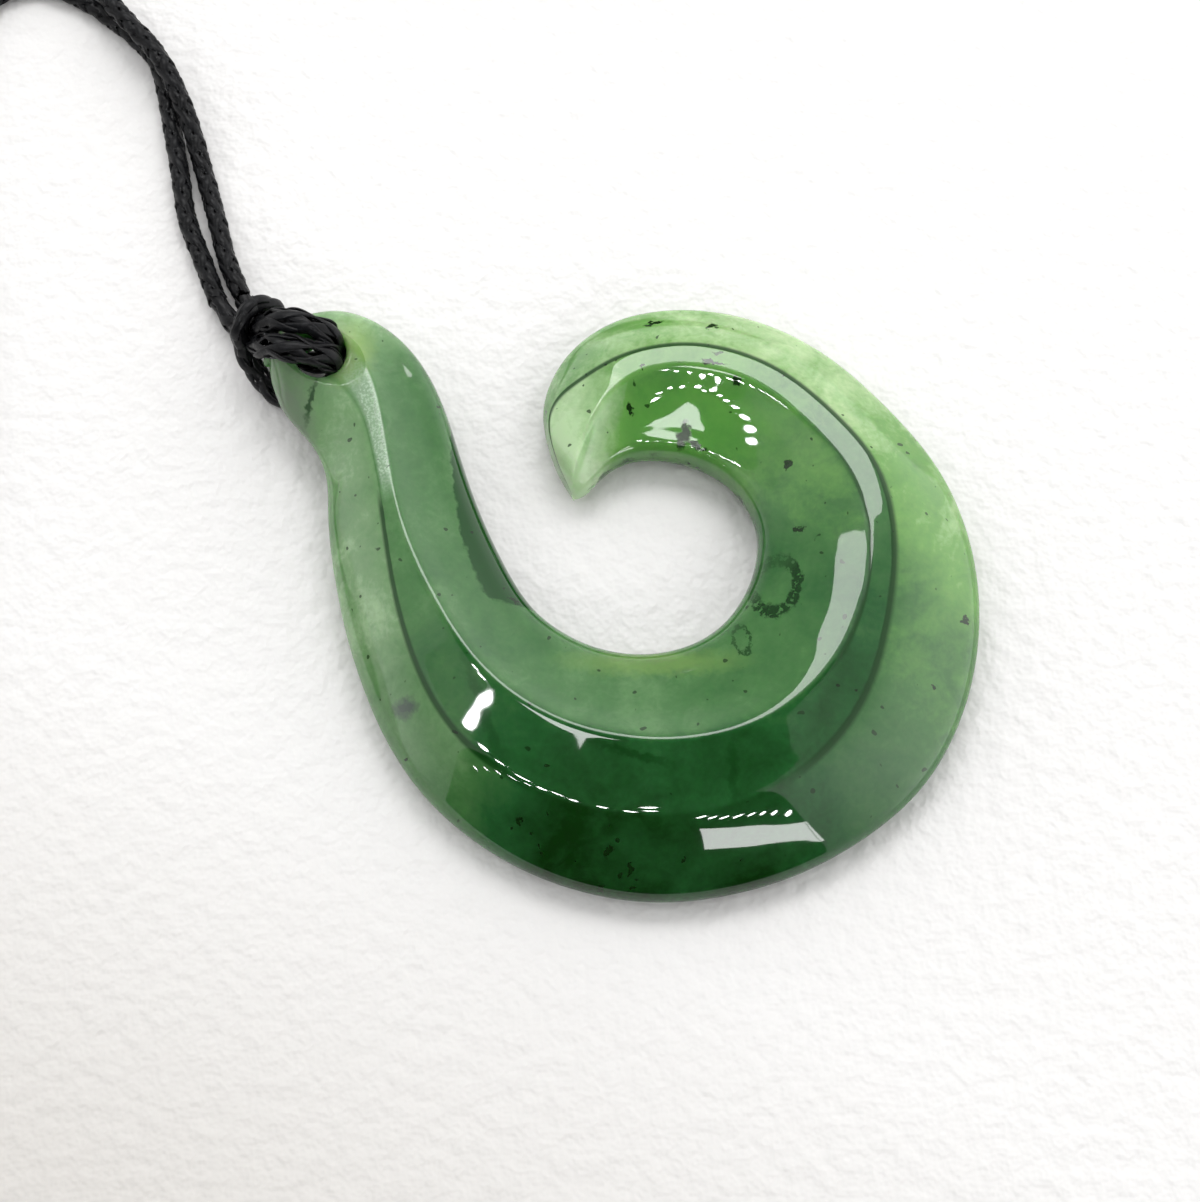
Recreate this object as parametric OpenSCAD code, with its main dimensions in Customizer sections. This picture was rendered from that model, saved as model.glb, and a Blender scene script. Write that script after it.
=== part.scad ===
// Hei matau: a carved fish-hook pendant of green nephrite on a braided neck cord.
// Millimetres. The hook lies on its back at z = 0, centred on the origin.
// +X is to the right across the hook, +Y is towards its head, +Z is up.

/* [Hook] */
// Width across the hook, from the head's side to the outside of the bend
hook_w = 53; // [46:1:62]
// Length from the bottom of the bend to the top of the point
hook_l = 46; // [40:1:54]
// Thickness at the highest part of the crest
hook_t = 7; // [6.4:0.1:8.4]

// How far the rounded back would reach below the face that is ground flat
belly = 0.3; // [0.2:0.05:0.6]

/* [Cord] */
// Thickness of one strand of the braided cord
cord_d = 1.6; // [1.2:0.05:1.7]
// Room left round the two strands in the cord hole
hole_room = 0.7; // [0.6:0.05:1.2]
// Length of the knot that joins the cord's ends
knot_l = 10; // [7:0.5:14]
// Thickness of that knot
knot_d = 4.4; // [3.6:0.1:5.2]

/* [Head] */
// Radius of the shallow dish ground round the cord hole
dish_r = 3.3; // [2.6:0.1:3.6]
// Depth of that dish at its middle
dish_deep = 0.6; // [0.3:0.05:0.8]

/* [Hidden] */

// Columns of the sections table. The first four are places in the plan, as shares of hook_w and hook_l.
// Crest and ridge are shares of the way from the inner edge to the outer edge.
// The rest are heights, as shares of hook_t.
inner_x = 0;
inner_y = 1;
outer_x = 2;
outer_y = 3;
crest = 4;
ridge = 5;
underside = 6;
rim_z = 7;
crest_z = 8;
ridge_z = 9;
edge_z = 10;
// How full the scoop is towards the crest, from 0 to 1, which formed adds to each row
full = 11;

// One row for each section, from the head, down the shank and round the bend to the point
sections = [
  // inner x,   y, outer x,   y, crest, ridge, under,  rim, crest, ridge, edge
  [-0.494,  0.408, -0.499,  0.384, 0.38, 0.62, 0.42, 0.64, 0.66, 0.66, 0.55],
  [-0.485,  0.434, -0.497,  0.360, 0.34, 0.62, 0.34, 0.70, 0.78, 0.77, 0.54],
  [-0.466,  0.456, -0.489,  0.332, 0.32, 0.62, 0.31, 0.72, 0.83, 0.82, 0.54],
  [-0.434,  0.471, -0.476,  0.300, 0.30, 0.61, 0.30, 0.72, 0.85, 0.84, 0.54],
  [-0.392,  0.475, -0.454,  0.270, 0.30, 0.60, 0.29, 0.72, 0.86, 0.84, 0.53],
  [-0.341,  0.453, -0.428,  0.234, 0.32, 0.58, 0.26, 0.70, 0.88, 0.85, 0.51],
  [-0.292,  0.403, -0.413,  0.187, 0.42, 0.58, 0.20, 0.66, 0.90, 0.87, 0.46],
  [-0.254,  0.327, -0.411,  0.127, 0.47, 0.58, 0.12, 0.63, 0.92, 0.90, 0.42],
  [-0.227,  0.232, -0.405,  0.065, 0.49, 0.58, 0.05, 0.60, 0.94, 0.92, 0.39],
  [-0.203,  0.150, -0.393, -0.010, 0.49, 0.61, 0.01, 0.60, 0.96, 0.92, 0.37],
  [-0.169,  0.060, -0.370, -0.110, 0.46, 0.66, 0.00, 0.60, 0.98, 0.91, 0.35],
  [-0.126, -0.026, -0.323, -0.241, 0.43, 0.70, 0.00, 0.61, 1.00, 0.88, 0.33],
  [-0.074, -0.074, -0.248, -0.358, 0.42, 0.72, 0.00, 0.61, 1.00, 0.86, 0.32],
  [-0.021, -0.099, -0.126, -0.454, 0.41, 0.71, 0.00, 0.61, 1.00, 0.85, 0.31],
  [ 0.037, -0.105,  0.022, -0.499, 0.41, 0.70, 0.00, 0.61, 1.00, 0.85, 0.30],
  [ 0.094, -0.090,  0.166, -0.482, 0.43, 0.70, 0.00, 0.60, 1.00, 0.85, 0.30],
  [ 0.141, -0.054,  0.294, -0.423, 0.45, 0.68, 0.00, 0.59, 0.99, 0.86, 0.31],
  [ 0.174,  0.003,  0.416, -0.312, 0.46, 0.62, 0.00, 0.58, 0.97, 0.88, 0.33],
  [ 0.189,  0.062,  0.485, -0.145, 0.47, 0.57, 0.00, 0.57, 0.94, 0.89, 0.35],
  [ 0.187,  0.118,  0.498,  0.030, 0.49, 0.59, 0.00, 0.56, 0.90, 0.88, 0.36],
  [ 0.160,  0.176,  0.463,  0.187, 0.51, 0.64, 0.00, 0.55, 0.86, 0.85, 0.36],
  [ 0.118,  0.213,  0.389,  0.310, 0.52, 0.66, 0.00, 0.53, 0.82, 0.81, 0.36],
  [ 0.072,  0.231,  0.279,  0.432, 0.54, 0.67, 0.00, 0.51, 0.79, 0.78, 0.36],
  [ 0.024,  0.233,  0.146,  0.495, 0.52, 0.66, 0.01, 0.49, 0.76, 0.75, 0.35],
  [-0.011,  0.218,  0.014,  0.490, 0.46, 0.63, 0.02, 0.47, 0.72, 0.71, 0.34],
  [-0.033,  0.194, -0.074,  0.424, 0.31, 0.68, 0.04, 0.44, 0.68, 0.57, 0.33],
  [-0.047,  0.176, -0.113,  0.325, 0.24, 0.85, 0.06, 0.42, 0.64, 0.49, 0.31],
  [-0.056,  0.170, -0.100,  0.240, 0.27, 0.84, 0.09, 0.37, 0.54, 0.45, 0.29],
  [-0.062,  0.168, -0.082,  0.195, 0.32, 0.76, 0.12, 0.31, 0.42, 0.37, 0.26],
  [-0.066,  0.168, -0.071,  0.174, 0.42, 0.58, 0.17, 0.26, 0.28, 0.28, 0.23],
];

// The scoop swells into a broad round crest on the outside of the bend. These are the row numbers where that
// starts, is full, starts to fade and is gone, and how full it gets.
swell_rows = [15, 17, 18.8, 20.6];
swell_most = 0.8;
function swell(i) = swell_most * lookup(i, [
  [swell_rows[0], 0], [swell_rows[1], 1], [swell_rows[2], 1], [swell_rows[3], 0]
]);
formed = [for (i = [0 : len(sections) - 1]) concat(sections[i], swell(i))];

// Sections that the curve through the table adds between two rows
between = 2;

// Middle of the cord hole in the plan, as shares of hook_w and hook_l
hole_at = [-0.4235, 0.388];

hole_d = 2 * cord_d + hole_room;
hole = [hole_at[0] * hook_w, hole_at[1] * hook_l];
head_top = 0.85 * hook_t;
dish_ball = (dish_r * dish_r + dish_deep * dish_deep) / (2 * dish_deep);

strand = cord_d / 2;
// Gap between the cord and the stone
cord_gap = 0.12;
// Height of a strand's middle where it lies on the surface, and over the head
low = strand;
over = head_top + strand + cord_gap;
// Half the distance between the two strands where they lie side by side
pair = strand + 0.02;
cord_sides = 8;

// Routes of the cord. Points of the hitch are measured from the middle of the cord hole, at these heights.
function by_hole(points) = [for (p = points) [hole[0] + p[0], hole[1] + p[1], p[2]]];

// The cord is one line: from the closing knot along the right-hand strand, through the hitch, and back along
// the left-hand strand to the knot. A ring of the tube stands at each point.
knot_middle = [-57, 82.4, knot_d / 2];
right_strand = concat([knot_middle + [knot_l / 2, 0, 0], knot_middle + [knot_l / 2 + 2, 0, 0]], [
  [-45.5, 81.8, low + 0.4],
  [-37.0, 80.8, low],
  [-23.0, 80.2, low],
  [ -8.0, 82.0, low],
  [  7.0, 82.0, low],
  [ 18.0, 79.2, low],
  [ 23.8, 73.0, low],
  [ 22.8, 65.8, low],
  [ 16.0, 60.0, low],
  [  4.0, 56.2, low],
  [-10.0, 55.2, low],
  [-24.0, 57.0, low],
  [-34.0, 60.2, low],
  [-40.6, 60.6, low],
  [-43.6, 57.4, low],
  [-42.8, 53.6, low + 0.5],
  [-41.4, 50.9, low + 1.3],
  [-40.1, 48.9, low + 1.7],
  [-38.3, 46.9, low + 1.7],
  [-36.6, 44.8, low + 1.7],
  [-35.2, 42.3, low + 1.4],
  [-33.9, 39.2, low + 0.9],
  [-32.7, 35.3, low],
  [-31.5, 31.2, low],
  [-30.5, 27.6, low],
]);
// Over the head, down the hole and out under the head, then round as the bight that crosses over both
// strands, back under the head, up the hole and over the head again
hitch_points = by_hole([
  [-6.60,  6.4, low + 0.1],
  [-6.00,  5.4, low + 0.3],
  [-5.30,  4.3, low + 1.3],
  [-4.90,  2.9, low + 3.2],
  [-4.20,  1.8, low + 5.3],
  [-2.50,  1.2, over + 0.1],
  [-0.90,  1.0, over],
  [ 0.20, pair, over - 0.6],
  [ 0.55, pair, head_top - 1.2],
  [ 0.55, pair, head_top - 2.9],
  [ 0.30,  0.9, low + 0.7],
  [-0.80,  1.2, low],
  [-2.20,  1.7, low],
  [-3.20,  2.7, low],
  [-3.30,  4.0, low + 0.5],
  [-3.40,  4.8, low + 2.0],
  [-4.20,  4.9, low + 3.6],
  [-5.40,  4.5, low + 4.3],
  [-6.60,  3.6, low + 4.2],
  [-7.50,  2.6, low + 3.2],
  [-7.60,  1.5, low + 1.5],
  [-6.60,  0.3, low + 0.3],
  [-5.10, -0.8, low],
  [-4.00, -1.7, low],
  [-2.80, -2.0, low],
  [-1.50, -1.7, low],
  [-0.40, -1.2, low + 0.05],
  [ 0.40, -0.9, low + 0.9],
  [ 0.55, -pair, head_top - 2.9],
  [ 0.55, -pair, head_top - 1.2],
  [ 0.20, -pair, over - 0.6],
  [-1.00, -1.1, over],
  [-2.60, -1.0, over + 0.1],
  [-4.20, -0.3, over - 0.5],
  [-5.20,  0.8, low + 3.8],
  [-6.10,  2.3, low + 1.6],
  [-7.50,  4.2, low + 0.4],
  [-8.60,  6.3, low + 0.1],
]);
left_strand = concat([
  [-32.4, 27.6, low],
  [-33.8, 31.2, low],
  [-34.6, 35.3, low],
  [-35.5, 39.6, low],
  [-36.2, 42.8, low],
  [-37.1, 45.4, low],
  [-39.2, 47.7, low],
  [-41.8, 49.8, low],
  [-44.6, 51.5, low],
  [-48.0, 52.2, low],
  [-51.4, 49.8, low],
  [-52.8, 43.0, low],
  [-51.8, 29.0, low],
  [-50.2, 15.0, low],
  [-50.8,  1.0, low],
  [-54.2, -9.6, low],
  [-61.0, -14.0, low],
  [-67.8, -10.6, low],
  [-71.6,  0.0, low],
  [-74.0, 15.0, low],
  [-76.0, 31.0, low],
  [-75.4, 47.0, low],
  [-75.2, 61.0, low],
  [-74.0, 72.5, low],
  [-70.2, 79.6, low + 0.3],
], [knot_middle - [knot_l / 2 + 2, 0, 0], knot_middle - [knot_l / 2, 0, 0]]);
line = concat(right_strand, hitch_points, left_strand);
hitch_from = len(right_strand);
hitch_to = hitch_from + len(hitch_points) - 1;

function unit(v) = v / norm(v);
function mix(a, b, share) = a + (b - a) * share;

// A smooth curve through a list of points or rows, with steps parts between each two
function between_rows(p, i, u) =
  let (a = p[max(i - 1, 0)], b = p[i], c = p[i + 1], d = p[min(i + 2, len(p) - 1)])
  0.5 * (2 * b + (c - a) * u + (2 * a - 5 * b + 4 * c - d) * u * u + (3 * b - a - 3 * c + d) * u * u * u);
function curve(p, steps) = concat(
  [for (i = [0 : len(p) - 2], k = [0 : steps - 1]) between_rows(p, i, k / steps)],
  [p[len(p) - 1]]
);

// One section as a closed ring of points. Each pair is a share of the way from the inner edge to the outer
// edge, and a height.
function outline(row) =
  let (
    under = row[underside] * hook_t,
    rim = row[rim_z] * hook_t,
    top = row[crest_z] * hook_t,
    shoulder = row[ridge_z] * hook_t,
    edge = row[edge_z] * hook_t,
    c = row[crest],
    r = row[ridge],
    f = row[full]
  )
  [
    [0.48, under - belly],
    [0.25, under - 0.8 * belly],
    [0.11, mix(under, rim, 0.02)],
    [0.045, mix(under, rim, 0.10)],
    [0.010, mix(under, rim, 0.30)],
    [0.000, mix(under, rim, 0.55)],
    [0.014, mix(under, rim, 0.82)],
    [0.060, rim],
    [mix(0.06, c, 0.33), mix(rim, top, mix(0.24, 0.40, f))],
    [mix(0.06, c, 0.66), mix(rim, top, mix(0.55, 0.77, f))],
    [mix(0.06, c, 0.88), mix(rim, top, mix(0.86, 0.95, f))],
    [c, top],
    [mix(c, r, 0.20), mix(top, shoulder, 0.12)],
    [mix(c, r, 0.60), mix(top, shoulder, 0.50)],
    [r, shoulder],
    [mix(r, 1, 0.20), mix(shoulder, edge, 0.12)],
    [mix(r, 1, 0.47), mix(shoulder, edge, 0.37)],
    [mix(r, 1, 0.74), mix(shoulder, edge, 0.68)],
    [mix(r, 1, 0.93), mix(shoulder, edge, 0.92)],
    [1.000, mix(under, edge, 0.80)],
    [0.985, mix(under, edge, 0.42)],
    [0.945, mix(under, edge, 0.14)],
    [0.880, mix(under, edge, 0.03)],
    [0.720, under - 0.8 * belly],
  ];
function section(row) =
  let (
    inner = [row[inner_x] * hook_w, row[inner_y] * hook_l],
    outer = [row[outer_x] * hook_w, row[outer_y] * hook_l]
  )
  [for (p = outline(row)) let (at = mix(inner, outer, p[0])) [at[0], at[1], p[1]]];

// A closed skin over rings that all have the same number of points
module skin(rings) {
  n = len(rings[0]);
  last = (len(rings) - 1) * n;
  sides = [
    for (i = [0 : len(rings) - 2], k = [0 : n - 1])
      let (a = i * n + k, b = i * n + (k + 1) % n)
      each [[a, b + n, b], [a, a + n, b + n]]
  ];
  polyhedron(
    points = [for (ring = rings) each ring],
    faces = concat(sides, [[for (k = [0 : n - 1]) k], [for (k = [n - 1 : -1 : 0]) last + k]]),
    convexity = 12
  );
}

// A stretch of the cord as a tube. Each ring's first direction is carried on from the ring before it, so two
// stretches that share a point meet in one and the same ring.
function tangent(i) = unit(line[min(i + 1, len(line) - 1)] - line[max(i - 1, 0)]);
function carried(i, before) =
  i == len(line) ? [] :
  let (t = tangent(i), across = unit(before - (before * t) * t))
  concat([across], carried(i + 1, across));
across = carried(0, [0, 0, 1]);
module cord(first, last) {
  skin([
    for (i = [first : last])
      let (side = cross(tangent(i), across[i]))
      [
        for (k = [0 : cord_sides - 1])
          let (angle = 360 * k / cord_sides)
          line[i] + strand * (cos(angle) * across[i] + sin(angle) * side)
      ]
  ]);
}

module hook() {
  color([0.30, 0.52, 0.30])
  difference() {
    skin([for (row = curve(formed, between)) section(row)]);
    translate([-hook_w, -hook_l, -hook_t]) cube([2 * hook_w, 2 * hook_l, hook_t]);
    translate([hole[0], hole[1], 0]) cylinder(h = 2 * hook_t, d = hole_d, $fn = 48);
    translate([hole[0], hole[1], head_top + dish_ball - dish_deep]) sphere(r = dish_ball, $fn = 96);
  }
}

module hitch() {
  color([0.08, 0.08, 0.09]) cord(hitch_from, hitch_to);
}

module neck_cord_left() {
  color([0.08, 0.08, 0.09]) cord(hitch_to, len(line) - 1);
}

module neck_cord_right() {
  color([0.08, 0.08, 0.09]) cord(0, hitch_from);
}

module closing_knot() {
  color([0.08, 0.08, 0.09])
  translate(knot_middle) rotate([0, 90, 0]) cylinder(h = knot_l, d = knot_d, center = true, $fn = 48);
}

hook();
hitch();
neck_cord_left();
neck_cord_right();
closing_knot();
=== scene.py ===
import bpy
import bmesh
import math
import numpy as np
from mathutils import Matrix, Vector


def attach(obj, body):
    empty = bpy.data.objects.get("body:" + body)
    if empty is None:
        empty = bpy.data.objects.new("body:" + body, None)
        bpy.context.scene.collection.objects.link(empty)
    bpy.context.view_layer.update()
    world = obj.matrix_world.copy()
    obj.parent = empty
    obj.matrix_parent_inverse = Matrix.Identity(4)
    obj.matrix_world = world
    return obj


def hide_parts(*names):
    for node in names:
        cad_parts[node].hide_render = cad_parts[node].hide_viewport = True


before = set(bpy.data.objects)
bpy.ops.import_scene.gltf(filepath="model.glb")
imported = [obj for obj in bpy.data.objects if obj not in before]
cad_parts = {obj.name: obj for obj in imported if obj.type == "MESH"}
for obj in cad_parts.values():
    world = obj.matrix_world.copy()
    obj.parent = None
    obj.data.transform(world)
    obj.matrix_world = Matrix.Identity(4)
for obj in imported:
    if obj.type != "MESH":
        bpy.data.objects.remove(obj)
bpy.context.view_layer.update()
print("frame loaded")

mm = 0.001


# Camera: the photo looks down on the pendant from the front, 18 degrees off the vertical.
view = {
    "stand": (-1.57 * mm, -55.22 * mm, 170.37 * mm),
    "aim": (-1.57 * mm, -0.86 * mm, 3.07 * mm),
    "lens": 72.07,
    "sensor": 36,  # mm, along the picture's long side
    "near": 0.01,
}


def makeCamera():
    data = bpy.data.cameras.new("camera")
    data.lens = view["lens"]
    data.sensor_width = view["sensor"]
    data.clip_start = view["near"]
    camera = bpy.data.objects.new("camera", data)
    camera.location = view["stand"]
    gaze = Vector(view["aim"]) - Vector(view["stand"])
    camera.rotation_euler = gaze.to_track_quat("-Z", "Y").to_euler()
    bpy.context.scene.collection.objects.link(camera)
    bpy.context.scene.camera = camera


makeCamera()
print("camera placed")


# Small helpers for materials
ramps = "ShaderNodeValToRGB"
maths = "ShaderNodeMath"
vectors = "ShaderNodeVectorMath"


def colour(text):  # sRGB hex to linear
    parts = [int(text[i:i + 2], 16) / 255 for i in (1, 3, 5)]
    return [p / 12.92 if p <= 0.04045 else ((p + 0.055) / 1.055) ** 2.4 for p in parts] + [1]


def newMaterial(name):
    material = bpy.data.materials.new(name)
    material.use_nodes = True
    material.node_tree.nodes.clear()
    return material, material.node_tree


# An input is a value, an output, or a node, which gives its first live output. A ramp's stops are places,
# each with a colour or a grey value.
def addNode(tree, kind, inputs=None, stops=(), between="LINEAR", **settings):
    node = tree.nodes.new(kind)
    for key, value in settings.items():
        setattr(node, key, value)
    for key, value in (inputs or {}).items():
        if isinstance(value, bpy.types.Node):
            value = next(output for output in value.outputs if output.enabled)
        if isinstance(value, bpy.types.NodeSocket):
            tree.links.new(value, node.inputs[key])
        else:
            node.inputs[key].default_value = value
    if stops:
        ramp = node.color_ramp
        ramp.interpolation = between
        while len(ramp.elements) < len(stops):
            ramp.elements.new(0.5)
        for element, (place, shade) in zip(ramp.elements, stops):
            element.position = place
            element.color = shade if isinstance(shade, list) else (shade, shade, shade, 1)
    return node


def meshPiece(name, points, faces, material):
    mesh = bpy.data.meshes.new(name)
    mesh.from_pydata([tuple(p) for p in points], [], faces)
    mesh.materials.append(material)
    mesh.polygons.foreach_set("use_smooth", [True] * len(mesh.polygons))
    mesh.update()
    piece = bpy.data.objects.new(name, mesh)
    bpy.context.scene.collection.objects.link(piece)
    return piece


# The cord's own line, the same places as in the part's source, in millimetres
cord = {
    "thick": 1.6,
    "headTop": 5.95,
    "hole": (-22.4455, 17.848),
    "knotMiddle": (-57.0, 82.4, 2.2),
    "knotLong": 10.0,
    "knotThick": 4.4,
    "yarnWide": 0.40,  # half the width and half the height of one flat yarn
    "yarnHigh": 0.15,
    "lift": 0.16,  # how far a yarn rises and falls at a crossing, as a share of the cord's own radius
    "plait": 7.0,  # length of one full turn of a yarn round the cord
}
low = cord["thick"] / 2
over = cord["headTop"] + low + 0.12
pair = low + 0.02
headTop = cord["headTop"]

rightStrand = [
    (-45.5, 81.8, low + 0.4), (-37.0, 80.8, low), (-23.0, 80.2, low), (-8.0, 82.0, low), (7.0, 82.0, low),
    (18.0, 79.2, low), (23.8, 73.0, low), (22.8, 65.8, low), (16.0, 60.0, low), (4.0, 56.2, low),
    (-10.0, 55.2, low), (-24.0, 57.0, low), (-34.0, 60.2, low), (-40.6, 60.6, low), (-43.6, 57.4, low),
    (-42.8, 53.6, low + 0.5), (-41.4, 50.9, low + 1.3), (-40.1, 48.9, low + 1.7), (-38.3, 46.9, low + 1.7),
    (-36.6, 44.8, low + 1.7), (-35.2, 42.3, low + 1.4), (-33.9, 39.2, low + 0.9), (-32.7, 35.3, low),
    (-31.5, 31.2, low), (-30.5, 27.6, low),
]
hitchByHole = [
    (-6.60, 6.4, low + 0.1), (-6.00, 5.4, low + 0.3), (-5.30, 4.3, low + 1.3), (-4.90, 2.9, low + 3.2),
    (-4.20, 1.8, low + 5.3), (-2.50, 1.2, over + 0.1), (-0.90, 1.0, over), (0.20, pair, over - 0.6),
    (0.55, pair, headTop - 1.2), (0.55, pair, headTop - 2.9), (0.30, 0.9, low + 0.7), (-0.80, 1.2, low),
    (-2.20, 1.7, low), (-3.20, 2.7, low), (-3.30, 4.0, low + 0.5), (-3.40, 4.8, low + 2.0),
    (-4.20, 4.9, low + 3.6), (-5.40, 4.5, low + 4.3), (-6.60, 3.6, low + 4.2), (-7.50, 2.6, low + 3.2),
    (-7.60, 1.5, low + 1.5), (-6.60, 0.3, low + 0.3), (-5.10, -0.8, low), (-4.00, -1.7, low),
    (-2.80, -2.0, low), (-1.50, -1.7, low), (-0.40, -1.2, low + 0.05), (0.40, -0.9, low + 0.9),
    (0.55, -pair, headTop - 2.9), (0.55, -pair, headTop - 1.2), (0.20, -pair, over - 0.6),
    (-1.00, -1.1, over), (-2.60, -1.0, over + 0.1), (-4.20, -0.3, over - 0.5), (-5.20, 0.8, low + 3.8),
    (-6.10, 2.3, low + 1.6), (-7.50, 4.2, low + 0.4), (-8.60, 6.3, low + 0.1),
]
leftStrand = [
    (-32.4, 27.6, low), (-33.8, 31.2, low), (-34.6, 35.3, low), (-35.5, 39.6, low), (-36.2, 42.8, low),
    (-37.1, 45.4, low), (-39.2, 47.7, low), (-41.8, 49.8, low), (-44.6, 51.5, low), (-48.0, 52.2, low),
    (-51.4, 49.8, low), (-52.8, 43.0, low), (-51.8, 29.0, low), (-50.2, 15.0, low), (-50.8, 1.0, low),
    (-54.2, -9.6, low), (-61.0, -14.0, low), (-67.8, -10.6, low), (-71.6, 0.0, low), (-74.0, 15.0, low),
    (-76.0, 31.0, low), (-75.4, 47.0, low), (-75.2, 61.0, low), (-74.0, 72.5, low), (-70.2, 79.6, low + 0.3),
]


# The curve through four places in a row, from the second to the third as u goes from 0 to 1
def throughFour(a, b, c, d, u):
    return 0.5 * (2 * b + (c - a) * u + (2 * a - 5 * b + 4 * c - d) * u**2 + (3 * b - a - 3 * c + d) * u**3)


def smoothLine(points, step, parts=12):
    p = np.array(points, float)
    p = np.vstack([2 * p[0] - p[1], p, 2 * p[-1] - p[-2]])
    u = np.linspace(0, 1, parts, endpoint=False)[:, None]
    fine = [throughFour(a, b, c, d, u) for a, b, c, d in zip(p[:-3], p[1:-2], p[2:-1], p[3:])]
    fine = np.vstack(fine + [p[-2:-1]])
    along = np.concatenate([[0], np.cumsum(np.linalg.norm(np.diff(fine[:, :3], axis=0), axis=1))])
    count = max(2, int(round(along[-1] / step)) + 1)
    at = np.linspace(0, along[-1], count)
    return np.stack([np.interp(at, along, column) for column in fine.T], 1)


# Waxed polyester braid: flat yarns laid over and under each other, black, with a waxy gloss on their backs
wax = {
    "patches": (420, 3),  # a noise: how many to a metre, and its detail
    "fibres": (5200, 2),
    "patchShades": ("#060607", "#101113"),
    "fibreShades": ("#020203", "#26272A"),
    "fibreShare": 0.35,
    "rough": (0.26, 0.44),
    "bump": 0.35,
    "fibreHigh": 0.06,  # mm
}


def waxedBraid():
    material, tree = newMaterial("waxed braid")
    place = addNode(tree, "ShaderNodeTexCoord").outputs["Object"]
    patches, fibres = [addNode(tree, "ShaderNodeTexNoise", {"Vector": place, "Scale": scale, "Detail": detail})
                       for scale, detail in (wax["patches"], wax["fibres"])]
    waxy, worn = [colour(shade) for shade in wax["patchShades"]]
    dark, pale = [colour(shade) for shade in wax["fibreShades"]]
    skinShade = addNode(tree, ramps, {0: patches}, [(0.35, waxy), (0.7, worn)])
    fibreShade = addNode(tree, ramps, {0: fibres}, [(0.3, dark), (0.75, pale)])
    shade = addNode(tree, "ShaderNodeMix", {0: wax["fibreShare"], 6: skinShade, 7: fibreShade}, data_type="RGBA")
    smooth, rough = wax["rough"]
    gloss = addNode(tree, "ShaderNodeMapRange", {"Value": patches, "To Min": smooth, "To Max": rough})
    bump = addNode(tree, "ShaderNodeBump", {
        "Height": fibres, "Strength": wax["bump"], "Distance": wax["fibreHigh"] * mm})
    skin = addNode(tree, "ShaderNodeBsdfPrincipled", {
        "Base Color": shade, "Roughness": gloss, "Normal": bump, "IOR": 1.5, "Specular IOR Level": 0.2})
    addNode(tree, "ShaderNodeOutputMaterial", {"Surface": skin})
    return material


braidMaterial = waxedBraid()

# How a yarn runs, as sums in their order: each has a name, an operation and what it works on. Half of the yarns
# go each way round. A yarn crosses as many others in a lap as there are yarns, over one and under the next.
yarnSums = (
    ("odd", "MODULO", "index", 2.0),
    ("twiceOdd", "MULTIPLY", "odd", 2.0),
    ("way", "SUBTRACT", "twiceOdd", 1.0),
    ("halfIndex", "DIVIDE", "index", 2.0),
    ("slot", "FLOOR", "halfIndex"),
    ("pairs", "DIVIDE", "yarns", 2.0),
    ("share", "DIVIDE", "slot", "pairs"),
    ("laps", "DIVIDE", "length", "turn"),
    ("lapsRound", "MULTIPLY", "laps", "way"),
    ("lapsAndShare", "ADD", "lapsRound", "share"),
    ("angle", "MULTIPLY", "lapsAndShare", 2 * math.pi),
    ("crossings", "MULTIPLY", "yarns", math.pi),
    ("walked", "MULTIPLY", "laps", "crossings"),
    ("slotPhase", "MULTIPLY", "slot", math.pi),
    ("wave", "ADD", "walked", "slotPhase"),
    ("quarterOn", "ADD", "wave", 0.5 * math.pi),
    ("overUnder", "SINE", "quarterOn"),
    ("overUnderWay", "MULTIPLY", "overUnder", "way"),
    ("rise", "MULTIPLY", "overUnderWay", "lift"),
    ("reach", "ADD", "rise", 1.0),
    ("sidewaysShare", "COSINE", "angle"),
    ("sideways", "MULTIPLY", "sidewaysShare", "reach"),
    ("upwardsShare", "SINE", "angle"),
    ("upwards", "MULTIPLY", "upwardsShare", "reach"),
)


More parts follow.
